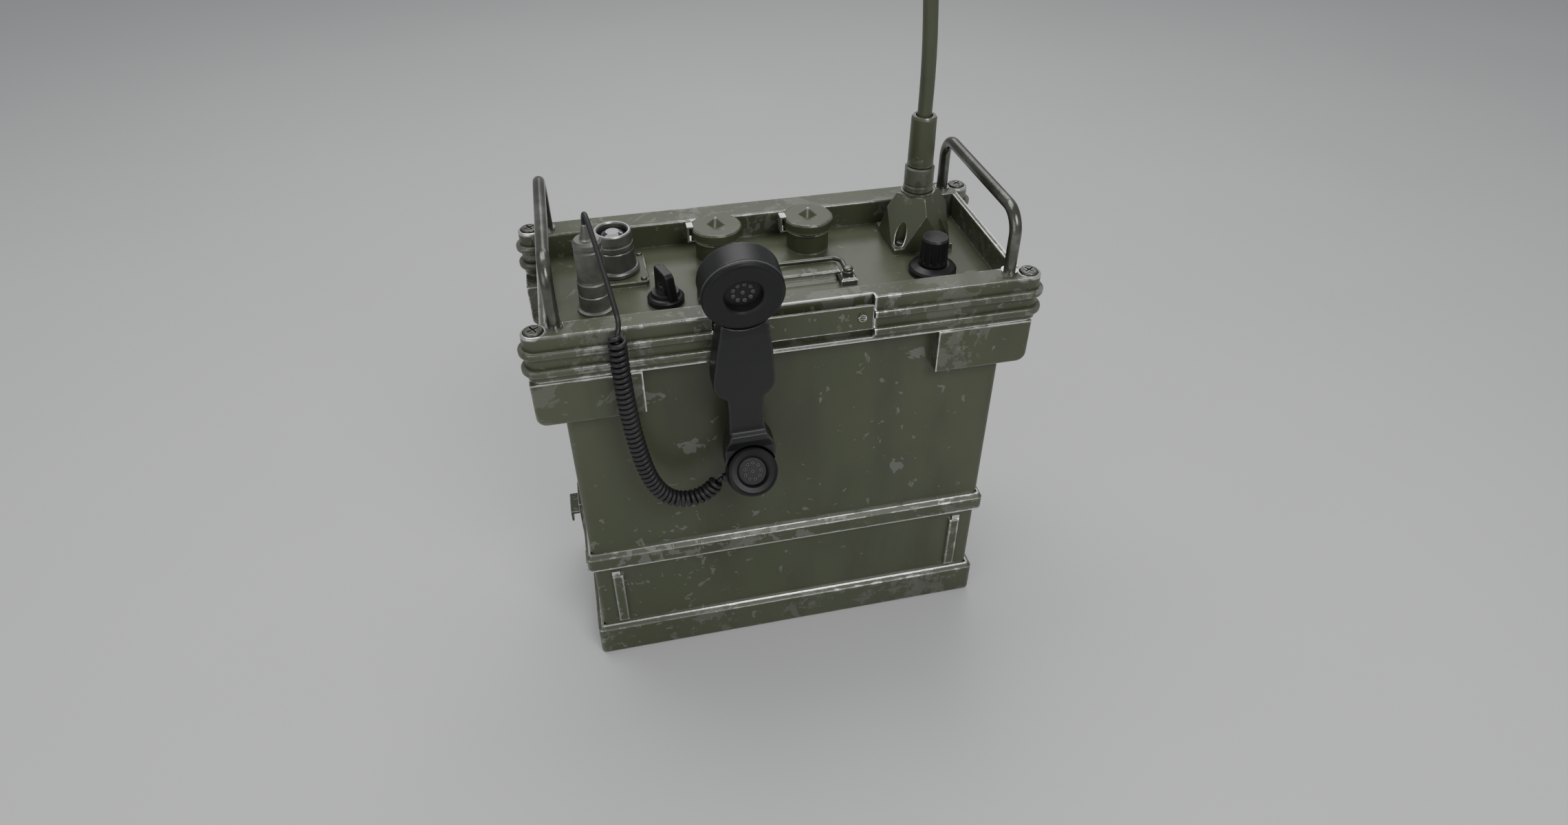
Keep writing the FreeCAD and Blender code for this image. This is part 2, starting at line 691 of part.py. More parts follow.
def make_whip():
    ferrule = turned_body("antenna_ferrule", [
        ("0", "antenna_ring - 4"), ("4.4", "antenna_ring - 4"), ("5.0", "antenna_ring - 3.2"),
        ("5.0", "coupling_top + 0.3"), ("7.0", "coupling_top + 0.3"), ("7.6", "coupling_top + 0.9"),
        ("7.3", "ferrule_top - 1.4"), ("6.5", "ferrule_top"), ("whip_radius + 0.9", "ferrule_top"),
        ("whip_radius + 0.05", "ferrule_top - 2"), ("whip_radius + 0.05", "ferrule_top - 14"),
        ("0", "ferrule_top - 14")])
    at(ferrule, "antenna_x", "antenna_y", "0")
    finished(ferrule, "antenna_ferrule")

    lean = math.radians(SIZES["whip_lean"])
    radius = SIZES["whip_radius"]
    bottom = Vector(SIZES["antenna_x"], SIZES["antenna_y"], SIZES["ferrule_top"] - 13.8)
    knee = bottom + Vector(0, 0, 46)
    top = knee + Vector(-math.sin(lean), 0, math.cos(lean)) * (SIZES["whip_length"] - 32.2)
    whip = document.addObject("Part::Feature", "antenna_whip")
    whip.Shape = swept_tube([bottom, knee, top], radius, "antenna_whip")
    finished(whip, "antenna_whip")

    tip = turned_body("antenna_tip", [
        ("whip_radius + 0.05", "0"), ("5.3", "0"), ("5.8", "0.8"), ("5.8", "13"), ("4.6", "16"),
        ("0", "16.8"), ("0", "10.1"), ("whip_radius + 0.05", "10.1")])
    tip.Placement = FreeCAD.Placement(top - Vector(-math.sin(lean), 0, math.cos(lean)) * 10,
                                      FreeCAD.Rotation(Vector(0, 1, 0), -SIZES["whip_lean"]))
    finished(tip, "antenna_tip")


# ---------------------------------------------------------------- sockets, lamp and knobs

def make_capped_sockets():
    necks = []
    straps = []
    for side in ("left", "right"):
        centre = f"{side}_socket_x"
        neck = turned_body(f"neck_{side}", [
            ("0", "panel_top - 8"), ("9.9", "panel_top - 8"), ("9.9", "panel_top"),
            ("neck_radius", "panel_top"), ("neck_radius", "cap_bottom + 2.2"),
            ("0", "cap_bottom + 2.2")])
        necks.append(at(neck, centre, "socket_y", "0"))
        cap = turned_body(f"cap_{side}", [
            ("neck_radius + 0.35", "cap_bottom"), ("cap_radius - 0.6", "cap_bottom"),
            ("cap_radius", "cap_bottom + 0.6"), ("cap_radius", "cap_top - 1.2"),
            ("cap_radius - 0.7", "cap_top - 0.3"), ("cap_radius - 1.7", "cap_top"),
            ("0", "cap_top"), ("0", "cap_bottom + 2.6"),
            ("neck_radius + 0.35", "cap_bottom + 2.6")])
        peak = pyramid(f"cap_peak_{side}", "4.3", "0.5", "4.6", 28)
        at(peak, centre, "socket_y", "cap_top - 0.2")
        finished(fuse(f"cap_solid_{side}", at(cap, centre, "socket_y", "0"), peak), f"dust_cap_{side}")
        band = cylinder(f"strap_band_{side}", "neck_radius + 0.9", "1", centre, "socket_y",
                        "cap_bottom - 1.6")
        hole = cylinder(f"strap_hole_{side}", "neck_radius + 0.05", "3", centre, "socket_y",
                        "cap_bottom - 2.6")
        outside = f"{centre} - cap_radius - 2.4"
        width = ("socket_y - 3", "socket_y + 3")
        link = box(f"strap_link_{side}", (outside, f"{centre} - neck_radius - 0.4"), width,
                   ("cap_bottom - 1.6", "cap_bottom - 0.6"))
        post = box(f"strap_post_{side}", (outside, f"{centre} - cap_radius - 1.2"), width,
                   ("cap_bottom - 1.6", "cap_top + 1.3"))
        lip = box(f"strap_lip_{side}", (outside, f"{centre} - cap_radius + 1.2"), width,
                  ("cap_top + 0.3", "cap_top + 1.3"))
        straps.append(fuse(f"strap_{side}", cut(f"strap_ring_{side}", band, hole), link, post, lip))
    finished(group("capped_sockets", *necks), "capped_sockets")
    finished(group("cap_straps", *straps), "cap_straps")


def make_lamp():
    plate = box("lamp_flange", ("lamp_x - lamp_plate_half", "lamp_x + lamp_plate_half"),
                ("lamp_y - lamp_plate_half", "lamp_y + lamp_plate_half"), ("panel_top", "lamp_plate_top"))
    plate = eased("Fillet", "lamp_flange_corners", plate, 2.4, upright)
    plate = eased("Chamfer", "lamp_flange_eased", plate, 0.5, flat_at(SIZES["lamp_plate_top"]))
    bore = cylinder("lamp_flange_bore", "5.9", "6", "lamp_x", "lamp_y", "panel_top - 1")
    finished(cut("lamp_plate", plate, bore), "lamp_plate")
    screws = []
    for side, end, name in mirrored_pairs():
        head = cylinder(f"lamp_head_{name}", "1.9", "1.3", f"lamp_x + {side} * 14.4",
                        f"lamp_y + {end} * 14.4", "lamp_plate_top")
        screws.append(eased("Fillet", f"lamp_screw_{name}", head, 0.8,
                            flat_at(SIZES["lamp_plate_top"] + 1.3)))
    make_lamp_optics()
    return screws


def make_lamp_optics():
    barrel = turned_body("lamp_barrel", [
        ("8.4", "lamp_plate_top"), ("13.0", "lamp_plate_top"), ("13.4", "lamp_plate_top + 0.6"),
        ("13.4", "lamp_plate_top + 2.4"), ("12.6", "lamp_plate_top + 3.4"),
        ("11.9", "lamp_plate_top + 3.7"), ("11.2", "lamp_joint - 0.6"), ("10.9", "lamp_joint"),
        ("8.4", "lamp_joint")])
    finished(at(barrel, "lamp_x", "lamp_y", "0"), "lamp_barrel")
    bulb = turned_body("lamp_bulb", [
        ("0", "panel_top - 5"), ("5.5", "panel_top - 5"), ("5.5", "lamp_plate_top + 3"),
        ("4.2", "lamp_plate_top + 3.6"), ("4.6", "lamp_plate_top + 8"), ("3.2", "lamp_joint - 1.4"),
        ("0", "lamp_joint - 0.6")])
    finished(at(bulb, "lamp_x", "lamp_y", "0"), "lamp_bulb")
    bezel = turned_body("lamp_bezel", [
        ("8.6", "lamp_joint + 0.3"), ("10.8", "lamp_joint + 0.3"), ("11.1", "lamp_joint + 0.7"),
        ("11.0", "lamp_joint + 3.2"), ("10.4", "lamp_joint + 3.7"), ("10.4", "lamp_joint + 4.5"),
        ("10.9", "lamp_joint + 5.0"), ("10.6", "lamp_top - 0.7"), ("10.0", "lamp_top"),
        ("9.2", "lamp_top"), ("8.6", "lamp_top - 0.8")])
    finished(at(bezel, "lamp_x", "lamp_y", "0"), "lamp_bezel")
    dome = document.addObject("Part::Sphere", "lens_dome")
    bind(dome, Radius="12")
    at(dome, "lamp_x", "lamp_y", "lamp_top - 12.6")
    slab = cylinder("lens_slab", "8.6", "5.4", "lamp_x", "lamp_y", "lamp_joint + 4.2")
    finished(common("lamp_lens", dome, slab), "lamp_lens")


def make_selector():
    skirt = turned_body("selector_skirt", [
        ("3.05", "0.5"), ("10.0", "0.5"), ("10.3", "0.9"), ("10.3", "2.6"), ("9.4", "3.6"),
        ("8.2", "4.2"), ("7.4", "6.4"), ("3.05", "6.4")])
    blade = padded_body("selector_blade", "YZ_Plane", [
        ("-9.6", "3.4"), ("7.4", "3.4"), ("6.6", "19.4"), ("4.6", "20.3"), ("-4.4", "18.4"),
        ("-6.4", "16.8")], "5.4", midplane=True)

    def blade_edge(edge):
        return edge.BoundBox.XLength < 0.01 and edge.BoundBox.ZMax > 4

    blade = dressed(blade, "Fillet", "1.1", blade_edge)
    bore = cylinder("selector_bore", "3.05", "12", "0", "0", "-1")
    knob = cut("selector_knob", fuse("selector_solid", skirt, blade), bore)
    turned(knob, (0, 0, 1), SIZES["selector_angle"])
    at(knob, "selector_x", "selector_y", "panel_top")
    finished(knob, "selector_knob")
    shaft = cylinder("selector_shaft", "3.0", "16", "selector_x", "selector_y", "panel_top - 5.6")
    finished(shaft, "selector_shaft")


def make_volume():
    outline = [("3.05", "6.2"), ("7.9", "6.2"), ("8.2", "6.8"), ("7.7", "21.4"), ("7.0", "22.6"),
               ("0", "23.0"), ("0", "12.0"), ("3.05", "12.0")]
    blank = turned_body("volume_blank", outline)
    flutes = []
    count = 12
    for number in range(count):
        angle = 2 * math.pi * number / count
        flutes.append(cylinder(f"volume_flute_{number}", "0.9", "13", f"{8.35 * math.cos(angle):.4f}",
                               f"{8.35 * math.sin(angle):.4f}", "8.4"))
    knob = cut("volume_knob", blank, *flutes)
    finished(at(knob, "volume_x", "volume_y", "panel_top"), "volume_knob")
    finished(cylinder("volume_shaft", "3.0", "17.4", "volume_x", "volume_y", "panel_top - 5.6"),
             "volume_shaft")
    collar = turned_body("volume_collar", [
        ("3.1", "0"), ("13.4", "0"), ("13.8", "0.5"), ("13.8", "3.0"), ("12.8", "4.2"),
        ("9.4", "5.8"), ("3.1", "5.8")])
    finished(at(collar, "volume_x", "volume_y", "panel_top"), "volume_collar")
    under = "panel_top - panel_thickness"
    switch = cylinder("rotary_switch", "12", "22", "selector_x", "selector_y", f"{under} - 25")
    control = cylinder("volume_control", "10", "16", "volume_x", "volume_y", f"{under} - 19")
    finished(group("switch_bodies", switch, control), "switch_bodies")


def make_display():
    block = box("display_block", ("-display_half_width", "display_half_width"),
                ("-display_front", "-display_back"), ("panel_top", "display_top"))
    block = eased("Chamfer", "display_eased", block, 0.9, flat_at(SIZES["display_top"]))
    foot = box("display_foot", ("-35.6", "35.6"), ("-display_front - 2.4", "-display_back"),
               ("panel_top", "panel_top + 1.1"))
    block = fuse("display_solid", block, foot)
    well = box("display_well", ("-33", "-7"), ("-13", "-5.8"), ("display_top - 1.4", "display_top + 1"))
    finished(cut("display_housing", block, well), "display_housing")
    finished(box("display_window", ("-32.9", "-7.1"), ("-12.9", "-5.9"),
                 ("display_top - 1.4", "display_top - 0.3")), "display_window")


def make_wire_guard():
    pieces = [cylinder("guard_bar", "guard_radius", "2 * (guard_x - guard_bend)",
                       "-guard_x + guard_bend", "guard_bar_y", "guard_z", "X")]
    posts = []
    screws = []
    eye_bottom = "guard_z - guard_radius - 0.15"
    eye_top = "guard_z + guard_radius + 0.05"
    for side in (-1, 1):
        tag = f"{side + 1}"
        place = f"{side} * guard_x"
        elbow = document.addObject("Part::Torus", f"guard_elbow_{tag}")
        bind(elbow, Radius1="guard_bend", Radius2="guard_radius", Angle3="90")
        turned(elbow, (0, 0, 1), 0 if side > 0 else 90)
        pieces.append(at(elbow, f"{side} * (guard_x - guard_bend)", "guard_bar_y - guard_bend",
                         "guard_z"))
        pieces.append(cylinder(f"guard_arm_{tag}", "guard_radius",
                               "guard_bar_y - guard_bend - guard_post_y - 2", place,
                               "guard_post_y + 2", "guard_z", "Y"))
        pieces.append(cylinder(f"guard_eye_{tag}", "3.2", f"{eye_top} - ({eye_bottom})", place,
                               "guard_post_y", eye_bottom))
        post = box(f"guard_post_{tag}", (f"{place} - 4.8", f"{place} + 4.8"),
                   ("guard_post_y - 4.8", "guard_post_y + 4.2"), ("panel_top", eye_bottom))
        post_top = SIZES["guard_z"] - SIZES["guard_radius"] - 0.15
        posts.append(eased("Chamfer", f"guard_post_{tag}_eased", post, 1.2, flat_at(post_top)))
        head = cylinder(f"guard_head_{tag}", "3.0", "2.6", place, "guard_post_y", eye_top)
        head_top = SIZES["guard_z"] + SIZES["guard_radius"] + 2.65
        screws.append(eased("Fillet", f"guard_screw_{tag}", head, 1.8, flat_at(head_top)))
    finished(fuse("wire_guard", *pieces), "wire_guard")
    finished(group("guard_posts", *posts), "guard_posts")
    return screws


# ---------------------------------------------------------------- plug and cord

def corner_arc(before, corner, after):
    """The arc that rounds a corner: its two tangent points, its middle and its radius."""
    into = corner - before
    out = after - corner
    shorter = min(into.Length, out.Length)
    half_turn = into.getAngle(out) / 2
    radius = 0.45 * shorter / math.tan(half_turn)
    start = corner - into.normalize() * 0.45 * shorter
    end = corner + out.normalize() * 0.45 * shorter
    inward = ((start + end) * 0.5 - corner).normalize()
    middle = corner + inward * (radius / math.cos(half_turn) - radius)
    return start, middle, end, radius


def swept_tube(points, radius, name):
    """A round tube along straight runs that tangent arcs join."""
    edges = []
    here = points[0]
    radii = []
    for number in range(1, len(points) - 1):
        start, middle, end, bend = corner_arc(*(Vector(p) for p in points[number - 1:number + 2]))
        edges.append(Part.LineSegment(here, start).toShape())
        edges.append(Part.Arc(start, middle, end).toShape())
        radii.append(round(bend, 1))
        here = end
    edges.append(Part.LineSegment(here, points[-1]).toShape())
    length = sum(edge.Length for edge in edges)
    ring = Part.Wire([Part.Circle(points[0], points[1] - points[0], radius).toShape()])
    tube = Part.Wire(edges).makePipeShell([ring], True, True)
    expected = math.pi * radius ** 2 * length
    if abs(tube.Volume - expected) > 0.02 * expected:
        raise RuntimeError(f"{name}: the tube holds {tube.Volume:.0f} mm3, not {expected:.0f}")
    print(f"{name}: {length:.1f} mm long, bend radii {radii}")
    return tube


LEAD_ROUTE = [(-101.6, -17.0, 296.5), (-101.6, -17.0, 302.1), (-100.0, -23.9, 305.3),
              (-92.0, -60.0, 268.5), (-91.4, -68.6, 265.2), (-93.8, -72.8, 260.4)]
COIL_ROUTE = [(-93.8, -72.8, 259.3), (-93.5, -72.8, 229.0), (-91.3, -72.8, 196.5),
              (-86.4, -72.4, 165.8), (-79.3, -72.0, 150.5), (-70.5, -72.0, 144.1),
              (-60.0, -72.0, 144.0), (-52.6, -72.0, 147.8), (-48.9, -72.0, 152.2)]


def make_plug_and_cord():
    socket = turned_body("audio_socket", [
        ("0", "panel_top - 8"), ("5.9", "panel_top - 8"), ("5.9", "panel_top"),
        ("10.0", "panel_top"), ("10.0", "panel_top + 1.6"), ("8.6", "panel_top + 2.4"),
        ("8.6", "plug_joint - 0.5"), ("8.1", "plug_joint"), ("0", "plug_joint")])
    finished(at(socket, "plug_x", "plug_y", "0"), "audio_socket")
    plug = turned_body("audio_plug", [
        ("0", "plug_joint"), ("8.0", "plug_joint"), ("8.4", "plug_joint + 0.6"),
        ("8.4", "plug_joint + 7"), ("7.9", "plug_joint + 7.8"), ("plug_radius", "plug_joint + 9"),
        ("plug_radius", "plug_shoulder - 6"), ("plug_radius - 0.5", "plug_shoulder - 5.4"),
        ("plug_radius - 0.5", "plug_shoulder - 4.4"), ("plug_radius", "plug_shoulder - 3.8"),
        ("plug_radius", "plug_shoulder - 1.4"), ("plug_radius - 1.2", "plug_shoulder"),
        ("0", "plug_shoulder")])
    finished(at(plug, "plug_x", "plug_y", "0"), "audio_plug")
    relief = turned_body("plug_relief", [
        ("0", "plug_shoulder"), ("3.8", "plug_shoulder"), ("3.4", "plug_shoulder + 1.2"),
        ("1.6", "relief_top - 0.6"), ("wire_diameter / 2", "relief_top"), ("0", "relief_top")])
    finished(at(relief, "plug_x", "plug_y", "0"), "plug_relief")
    for name, route, alias in (("cord_lead", LEAD_ROUTE, "wire_diameter"),
                               ("cord_coil", COIL_ROUTE, "coil_diameter")):
        tube = document.addObject("Part::Feature", name)
        tube.Shape = swept_tube([Vector(*point) for point in route], SIZES[alias] / 2, name)
        finished(tube, name)


# ---------------------------------------------------------------- handset

def handset_placement():
    """From the handset's own frame (its middle plane at x = 0) to the radio's."""
    lean = FreeCAD.Rotation(Vector(0, 1, 0), -SIZES["handset_lean"])
    pivot = Vector(0, 0, 225)
    return FreeCAD.Placement(Vector(SIZES["handset_x"], 0, 0) + pivot - lean.multVec(pivot), lean)


def tipped(item, centre, tilt):
    """Lays an upright turned piece down so that its axis faces the front, raised by tilt."""
    item.Placement = FreeCAD.Placement(Vector(*centre), FreeCAD.Rotation(Vector(1, 0, 0), 90 - tilt))
    return item


# A cap's front centre in the handset's own frame, and how far its axis is raised, in degrees.
EAR = ((0, -85.0, 282.5), -10.8)
MOUTH = ((0, -80.2, 164.8), 39.0)


def behind(cap, name, radius, depth, length):
    """A cylinder on a cap's axis that starts a depth behind its front and runs forwards."""
    centre, tilt = cap
    item = document.addObject("Part::Cylinder", name)
    bind(item, Radius=radius, Height=length)
    tipped(item, centre, tilt)
    back = item.Placement.Rotation.multVec(Vector(0, 0, -depth))
    item.Placement = FreeCAD.Placement(Vector(*centre) + back, item.Placement.Rotation)
    return item


def handset_disc(name, cap, outline, ring, floor):
    """A cap with a sunk middle, and on it a ring of nine drilled eyelets round a tenth."""
    body = turned_body(f"{name}_disc", outline)
    count = 9
    turns = [2 * math.pi * number / count for number in range(count)]
    places = [(0.0, 0.0)] + [(ring * math.cos(turn), ring * math.sin(turn)) for turn in turns]
    eyelets = []
    holes = []
    for number, (x, y) in enumerate(places):
        place = (f"{x:.4f}", f"{y:.4f}")
        eyelets.append(cone(f"{name}_eyelet_{number}", "1.35", "0.8", "1.0", *place, f"{floor - 0.3}"))
        holes.append(cylinder(f"{name}_hole_{number}", "0.45", "20", *place, "-10"))
    raised = fuse(f"{name}_raised", body, *eyelets)
    return tipped(cut(f"{name}_drilled", raised, *holes), *cap)


def make_handset():
    placement = handset_placement()

    def placed(item, label):
        holder = document.addObject("Part::Compound", label)
        holder.Links = [item]
        holder.Placement = placement
        finished(holder, label)

    front = padded_body("grip_front", "XZ_Plane", [
        ("-10.7", "271"), ("11.4", "271"), ("13.9", "249"), ("14.8", "231"), ("14.8", "226"),
        ("13.1", "222"), ("8.3", "216.5"), ("8.3", "196"), ("9.8", "190"), ("13.2", "183"),
        ("14.6", "176"), ("14.6", "166"), ("12.6", "155"), ("7", "146"), ("-7", "146"),
        ("-12.6", "155"), ("-14.6", "166"), ("-14.6", "176"), ("-13.8", "183"), ("-11.8", "190"),
        ("-11.2", "196"), ("-11.3", "216.5"), ("-16.7", "222"), ("-18.4", "226"), ("-18.4", "231"),
        ("-15.4", "249")], "120", "30")
    side = padded_body("grip_side", "YZ_Plane", [
        ("-67.4", "271"), ("-79.6", "271"), ("-81.4", "258"), ("-81.8", "240"), ("-80.6", "222"),
        ("-78.6", "204"), ("-77.4", "193.0"), ("-80.6", "190.8"), ("-80.2", "187.4"), ("-74.6", "178"),
        ("-74.4", "155"), ("-71.4", "150.6"), ("-66.6", "149.6"), ("-64.2", "156"), ("-64.8", "172"),
        ("-66.6", "190"), ("-67.6", "215"), ("-67.4", "245")], "60", midplane=True)
    grip = common("grip_blank", front, side)
    ear_cup = behind(EAR, "ear_cup", "ear_cup_radius", 17.4, "14")
    mouth_cup = behind(MOUTH, "mouth_cup", "mouth_cup_radius", 14.4, "7.8")
    rooms = [behind(EAR, "ear_cap_room", "ear_cup_radius + 0.2", 3.4, "30"),
             behind(MOUTH, "mouth_cap_room", "mouth_cup_radius + 0.2", 6.6, "30"),
             behind(EAR, "ear_room", "17", 15.0, "14"),
             behind(MOUTH, "mouth_room", "11.6", 12.6, "7"),
             box("talk_slot", ("-5.4", "5.4"), ("-72.6", "-60"), ("192", "214"))]
    placed(cut("handset_cut", fuse("handset_solid", grip, ear_cup, mouth_cup), *rooms), "handset_body")

    placed(handset_disc("earpiece", EAR, [
        ("0", "-4.6"), ("9.4", "-4.6"), ("10.0", "-1.3"), ("10.9", "-0.5"), ("18.8", "0"),
        ("20.3", "-0.5"), ("21.0", "-1.6"), ("21.2", "-3.4"), ("16.8", "-3.4"), ("16.8", "-9.0"),
        ("14", "-9.0"), ("14", "-6.6"), ("0", "-6.6")], 5.2, -4.6), "earpiece_cap")
    placed(handset_disc("mouthpiece", MOUTH, [
        ("0", "-3.4"), ("7.8", "-3.4"), ("8.4", "-1.3"), ("9.4", "-0.4"), ("12.2", "0"),
        ("13.6", "-0.5"), ("14.3", "-1.5"), ("14.8", "-6.6"), ("12.0", "-6.6"), ("12.0", "-5.4"),
        ("0", "-5.4")], 4.8, -3.4), "mouthpiece_cap")
    placed(group("capsule_pair", behind(EAR, "receiver_unit", "15", 14.4, "5"),
                 behind(MOUTH, "microphone_unit", "10.5", 11.4, "4")), "handset_capsules")

    button = box("talk_bar", ("-5", "5"), ("-69.6", "-64.4"), ("192.4", "213.6"))
    placed(eased("Fillet", "talk_bar_eased", button, 1.2,
                 lambda edge: abs(edge.BoundBox.YMax + 64.4) < 0.01), "talk_button")
    coil = cylinder("talk_coil", "2.2", "2.8", "0", "-72.5", "203", "Y")
    placed(coil, "talk_spring")
    tongue = fuse("hook_solid",
                  box("hook_root", ("-4", "4"), ("-69.5", "-65.6"), ("246", "257.6")),
                  box("hook_bridge", ("-4", "4"), ("-69.5", "-60.2"), ("256", "257.6")),
                  box("hook_tongue", ("-4", "4"), ("-61.8", "-60.2"), ("247.6", "257.6")))
    placed(tongue, "handset_hook")
    boot = cone("boot_cone", "3.4", "2.2", "4.6", "-39.8", "-72", "156.2")
    finished(turned(boot, (0, 1, 0), -90), "handset_boot")


# ---------------------------------------------------------------- side latches

def make_latches():
    bases = []
    pins = []
    for side, name in ((-1, "left"), (1, "right")):
        pivot = f"{side} * latch_pivot_x"
        knuckle = cylinder(f"hasp_knuckle_{name}", "2.6", "2 * (latch_half_width - 4.3)", pivot,
                           "-latch_half_width + 4.3", "latch_pivot_z", "Y")
        strap = box(f"hasp_strap_{name}", spread(side, "latch_plate_inner", "latch_plate_outer"),
                    ("-latch_half_width + 4.3", "latch_half_width - 4.3"), ("latch_pivot_z", "60"))
        plate = box(f"hasp_plate_{name}", spread(side, "latch_plate_inner", "latch_plate_outer"),
                    ("-latch_half_width", "latch_half_width"), ("46", "rim_top + 2.6"))
        nose = box(f"hasp_nose_{name}", spread(side, "case_half_width + 0.7", "latch_plate_outer"),
                   ("-latch_half_width", "latch_half_width"), ("rim_top + 0.6", "rim_top + 2.6"))
        tab = box(f"hasp_tab_{name}", spread(side, "latch_plate_outer - 0.5", "137.2"),
                  ("-latch_half_width + 2", "latch_half_width - 2"), ("86", "88"))
        lip = box(f"hasp_lip_{name}", spread(side, "135.6", "137.2"),
                  ("-latch_half_width + 2", "latch_half_width - 2"), ("80", "88"))
        bore = cylinder(f"hasp_bore_{name}", "1.25", "40", pivot, "-20", "latch_pivot_z", "Y")
        finished(cut(f"latch_{name}", fuse(f"hasp_{name}", knuckle, strap, plate, nose, tab, lip), bore),
                 f"latch_{name}")
        base_plate = box(f"latch_plate_{name}",
                         spread(side, "case_half_width + 0.05", "case_half_width + 1.7"),
                         ("-latch_half_width", "latch_half_width"), ("28.6", "44"))
        ears = []
        for end in (-1, 1):
            span = spread(end, "latch_half_width - 4", "latch_half_width")
            ears.append(box(f"latch_ear_{name}_{end + 1}",
                            spread(side, "case_half_width + 1", "latch_pivot_x"), span, ("31.4", "36.6")))
            start = "latch_half_width - 4" if end > 0 else "-latch_half_width"
            ears.append(cylinder(f"latch_knuckle_{name}_{end + 1}", "2.6", "4", pivot, start,
                                 "latch_pivot_z", "Y"))
        hole = cylinder(f"latch_hole_{name}", "1.25", "40", pivot, "-20", "latch_pivot_z", "Y")
        bases.append(cut(f"latch_base_{name}", fuse(f"latch_solid_{name}", base_plate, *ears), hole))
        pins.append(cylinder(f"latch_pin_{name}", "1.2", "2 * latch_half_width", pivot,
                             "-latch_half_width", "latch_pivot_z", "Y"))
    finished(group("latch_bases", *bases), "latch_bases")
    finished(group("latch_pins", *pins), "latch_pins")


# ---------------------------------------------------------------- build, check and write

def check_and_write():
    document.recompute()
    broken = [item.Name for item in document.Objects
              if "Invalid" in item.State or "Error" in item.State]
    if broken:
        raise RuntimeError(f"objects that failed: {broken}")
    for item in subparts:
        if item.Shape.isNull() or not item.Shape.isValid() or not item.Shape.Solids:
            raise RuntimeError(f"{item.Label} has no valid solid")
    os.makedirs("parts", exist_ok=True)
    for item in subparts:
        item.Shape.exportStep(f"parts/{item.Label}.step")
    print(f"{len(subparts)} sub-parts written")


make_base_pan()
make_battery_box()
make_battery_pack()
make_middle_rim()
make_battery_gasket()
make_main_case()
make_chassis()
make_top_flange()
make_corner_screws()
make_corner_brackets()
make_handles()
make_retaining_bars()
make_panel()
make_hanger_plate()
panel_screws = make_antenna_base()
make_antenna_coupling()
make_whip()
make_capped_sockets()
panel_screws += make_lamp()
make_selector()
make_volume()
make_display()
panel_screws += make_wire_guard()
finished(group("panel_screws", *panel_screws), "panel_screws")
make_plug_and_cord()
make_handset()
make_latches()
check_and_write()
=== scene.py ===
import json
import math

import bpy
from mathutils import Matrix, Vector


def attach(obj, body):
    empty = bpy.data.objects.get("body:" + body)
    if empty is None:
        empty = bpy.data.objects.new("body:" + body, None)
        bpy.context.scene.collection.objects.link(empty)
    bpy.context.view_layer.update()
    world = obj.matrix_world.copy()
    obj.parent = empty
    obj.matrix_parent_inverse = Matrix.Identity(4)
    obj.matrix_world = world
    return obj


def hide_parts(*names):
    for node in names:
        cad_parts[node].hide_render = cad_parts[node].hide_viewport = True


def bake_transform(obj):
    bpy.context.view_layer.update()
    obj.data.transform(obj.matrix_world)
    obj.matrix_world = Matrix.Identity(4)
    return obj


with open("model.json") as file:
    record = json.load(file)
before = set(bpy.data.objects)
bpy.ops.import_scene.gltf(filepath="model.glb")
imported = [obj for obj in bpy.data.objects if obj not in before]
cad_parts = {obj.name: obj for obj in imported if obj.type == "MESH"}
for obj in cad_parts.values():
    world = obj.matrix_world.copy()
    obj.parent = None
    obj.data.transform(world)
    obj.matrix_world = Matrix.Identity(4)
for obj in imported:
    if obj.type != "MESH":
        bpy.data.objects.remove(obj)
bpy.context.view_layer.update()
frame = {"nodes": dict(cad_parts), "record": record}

MM = 0.001


# ---------------------------------------------------------------- camera, floor and light

CAMERA_PLACE = (-0.0981, -0.4746, 0.5269)
CAMERA_TURN = math.radians(-12.60)
CAMERA_DIP = math.radians(38.594)
CAMERA_ROLL = math.radians(-0.186)
CAMERA_LENS = 21.83
SENSOR_WIDTH = 36.0
CLIP_START = 0.01
CLIP_END = 50.0

WORLD_COLOUR = (0.82, 0.84, 0.86, 1.0)
WORLD_STRENGTH = 0.38
FLOOR_REACH = 6.0

# Place, target, size and power, in metres and watts.
LIGHTS = {
    "top": ((-0.10, 0.45, 1.40), (0.0, 0.0, 0.2), (1.2, 0.7), 9.0),
    "back": ((0.35, 1.35, 1.15), (0.0, 0.0, 0.25), (1.0, 0.35), 2.5),
    "key": ((0.30, -0.95, 1.15), (0.0, 0.0, 0.15), (0.55, 0.55), 7.0),
    "fill": ((-0.9, -0.9, 0.6), (0.0, 0.0, 0.15), (1.0, 0.8), 3.0),
}


def add_camera():
    data = bpy.data.cameras.new("camera")
    data.lens = CAMERA_LENS
    data.sensor_width = SENSOR_WIDTH
    data.clip_start = CLIP_START
    data.clip_end = CLIP_END
    camera = bpy.data.objects.new("camera", data)
    bpy.context.scene.collection.objects.link(camera)
    turn = Matrix.Rotation(CAMERA_TURN, 4, "Z") @ Matrix.Rotation(math.pi / 2 - CAMERA_DIP, 4, "X")
    camera.matrix_world = (Matrix.Translation(CAMERA_PLACE) @ turn
                           @ Matrix.Rotation(CAMERA_ROLL, 4, "Z"))
    bpy.context.scene.camera = camera


def add_area(name, place, target, size, power):
    data = bpy.data.lights.new(name, "AREA")
    data.shape = "RECTANGLE"
    data.size, data.size_y = size
    data.energy = power
    light = bpy.data.objects.new(name, data)
    bpy.context.scene.collection.objects.link(light)
    light.location = place
    light.rotation_mode = "QUATERNION"
    light.rotation_quaternion = (Vector(target) - Vector(place)).to_track_quat("-Z", "Y")


